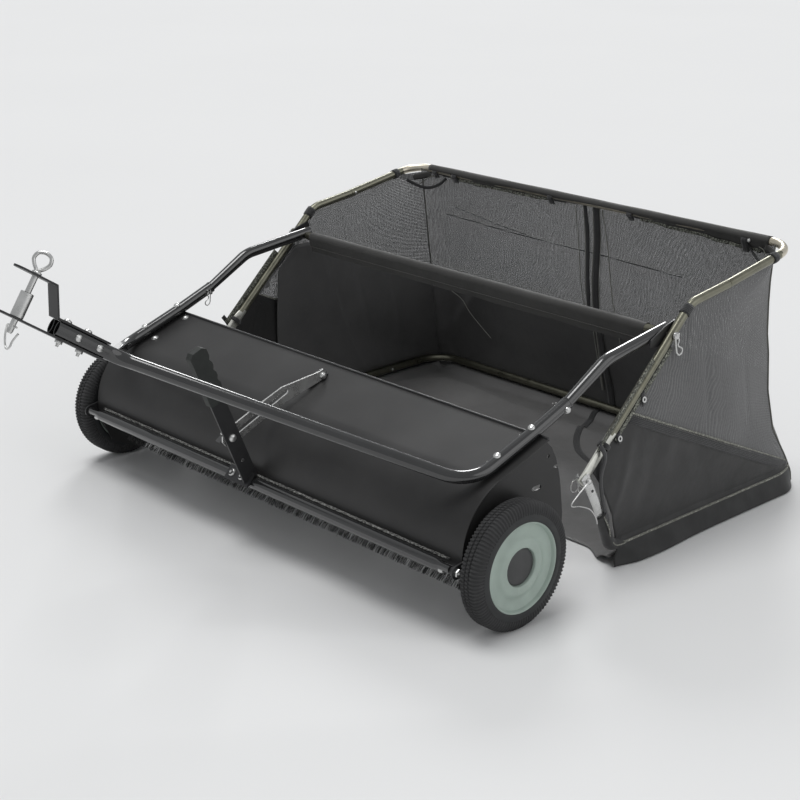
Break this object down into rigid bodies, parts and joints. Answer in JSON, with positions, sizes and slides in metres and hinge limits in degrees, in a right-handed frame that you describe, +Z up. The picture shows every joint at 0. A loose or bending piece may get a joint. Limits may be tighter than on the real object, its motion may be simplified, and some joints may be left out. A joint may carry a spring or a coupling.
{
  "type": "tow-behind lawn sweeper",
  "caption": "Towed lawn sweeper: wheel-driven brush in a sheet housing, bent tow tubes with pin hitch, height lever, and a tipping tube-framed fabric hopper.",
  "frame": {"origin": "centre of the bounding box on the ground", "axes": "+Z up, the hitch points to -Y, the hopper to +Y, +X is the machine's left seen from behind the hitch (viewer's right in the picture)"},
  "size_m": [1.308, 1.6766, 0.7042],
  "materials": {
    "satin_black_sheet": "satin black powder coat",
    "gloss_black_tube": "gloss black powder coat",
    "black_bracket": "black paint",
    "zinc": "bright zinc plate",
    "galvanised_tube": "olive-grey galvanised",
    "grip_rubber": "matt moulded rubber",
    "tyre": "matt black with worn edges",
    "rim_plastic": "pale grey-green moulded",
    "black_plastic": "satin moulded",
    "gear_plastic": "satin moulded",
    "bristle": "extruded filament",
    "solid_cloth": "smooth coated cloth",
    "mesh_cloth": "open woven mesh"
  },
  "bodies": {
    "frame": {"housing_cover": "satin_black_sheet", "side_plate_left": "satin_black_sheet", "side_plate_right": "satin_black_sheet", "brush_bearing_left": "black_plastic", "brush_bearing_right": "black_plastic", "hitch_tube_left": "gloss_black_tube", "hitch_tube_right": "gloss_black_tube", "arm_tube_left": "gloss_black_tube", "arm_tube_right": "gloss_black_tube", "arm_pin_left": "zinc", "arm_pin_right": "zinc", "pivot_bracket_left": "black_bracket", "pivot_bracket_right": "black_bracket", "hitch_strap_upper": "black_bracket", "hitch_strap_lower": "black_bracket", "hitch_spacer": "zinc", "strap_foot_bracket": "black_bracket"},
    "height_frame": {"front_bar": "gloss_black_tube", "wheel_bracket_left": "gloss_black_tube", "wheel_bracket_right": "gloss_black_tube", "depth_lever": "black_bracket", "lever_grip": "grip_rubber", "clamp_bolt": "zinc"},
    "strap": {"depth_strap": "zinc"},
    "knob": {"clamp_knob": "black_plastic"},
    "brush": {"brush_shaft": "zinc", "pinion_left": "gear_plastic", "pinion_right": "gear_plastic", "brush_strip_1": "bristle", "brush_strip_2": "bristle", "brush_strip_3": "bristle", "brush_strip_4": "bristle"},
    "wheel_left": {"tyre_left": "tyre", "rim_left": "rim_plastic", "ring_gear_left": "gear_plastic", "hub_cap_left": "black_plastic"},
    "wheel_right": {"tyre_right": "tyre", "rim_right": "rim_plastic", "ring_gear_right": "gear_plastic", "hub_cap_right": "black_plastic"},
    "pin": {"hitch_pin": "zinc", "hitch_hairpin": "zinc"},
    "hopper": {"hopper_side_tube_left": "galvanised_tube", "hopper_side_tube_right": "galvanised_tube", "hopper_top_tube": "galvanised_tube", "floor_rail_left": "zinc", "floor_rail_right": "zinc", "floor_rear_tube": "galvanised_tube", "cross_tube": "galvanised_tube", "cross_sleeve": "solid_cloth", "pivot_pin_left": "zinc", "pivot_pin_right": "zinc", "lower_pin_left": "zinc", "lower_pin_right": "zinc", "side_cloth_left": "mesh_cloth", "side_cloth_right": "mesh_cloth", "back_cloth": "solid_cloth", "floor_cloth": "solid_cloth"}
  },
  "joints": [
    {"name": "height_adjust", "type": "hinge", "parent": "frame", "child": "height_frame", "pos_m": [0, -0.12354, 0.1453], "axis": [1, 0, 0], "range_deg": [-30, 0]},
    {"name": "strap_swing", "type": "hinge", "parent": "frame", "child": "strap", "pos_m": [0, -0.08155, 0.321], "axis": [1, 0, 0], "range_deg": [-18.5, 0.2]},
    {"name": "clamp_turn", "type": "hinge", "parent": "height_frame", "child": "knob", "pos_m": [0, -0.32855, 0.247], "axis": [1, 0, 0], "range_deg": [-180, 0]},
    {"name": "brush_spin", "type": "hinge", "parent": "height_frame", "child": "brush", "pos_m": [0, -0.12354, 0.1453], "axis": [1, 0, 0], "continuous": true},
    {"name": "wheel_left_spin", "type": "hinge", "parent": "height_frame", "child": "wheel_left", "pos_m": [0.629, -0.16355, 0.127], "axis": [1, 0, 0], "continuous": true},
    {"name": "wheel_right_spin", "type": "hinge", "parent": "height_frame", "child": "wheel_right", "pos_m": [-0.629, -0.16355, 0.127], "axis": [1, 0, 0], "continuous": true},
    {"name": "hitch_pin_turn", "type": "hinge", "parent": "frame", "child": "pin", "pos_m": [0, -0.78693, 0.60806], "axis": [0, 0.5548, 0.832], "continuous": true},
    {"name": "hopper_dump", "type": "hinge", "parent": "frame", "child": "hopper", "pos_m": [0, 0.33145, 0.4555], "axis": [1, 0, 0], "range_deg": [0, 75]}
  ],
  "couplings": [
    {"joint": "strap_swing", "follows": "height_adjust", "ratio": 0.6006},
    {"joint": "wheel_right_spin", "follows": "wheel_left_spin", "ratio": 1},
    {"joint": "brush_spin", "follows": "wheel_left_spin", "ratio": 3.75}
  ]
}
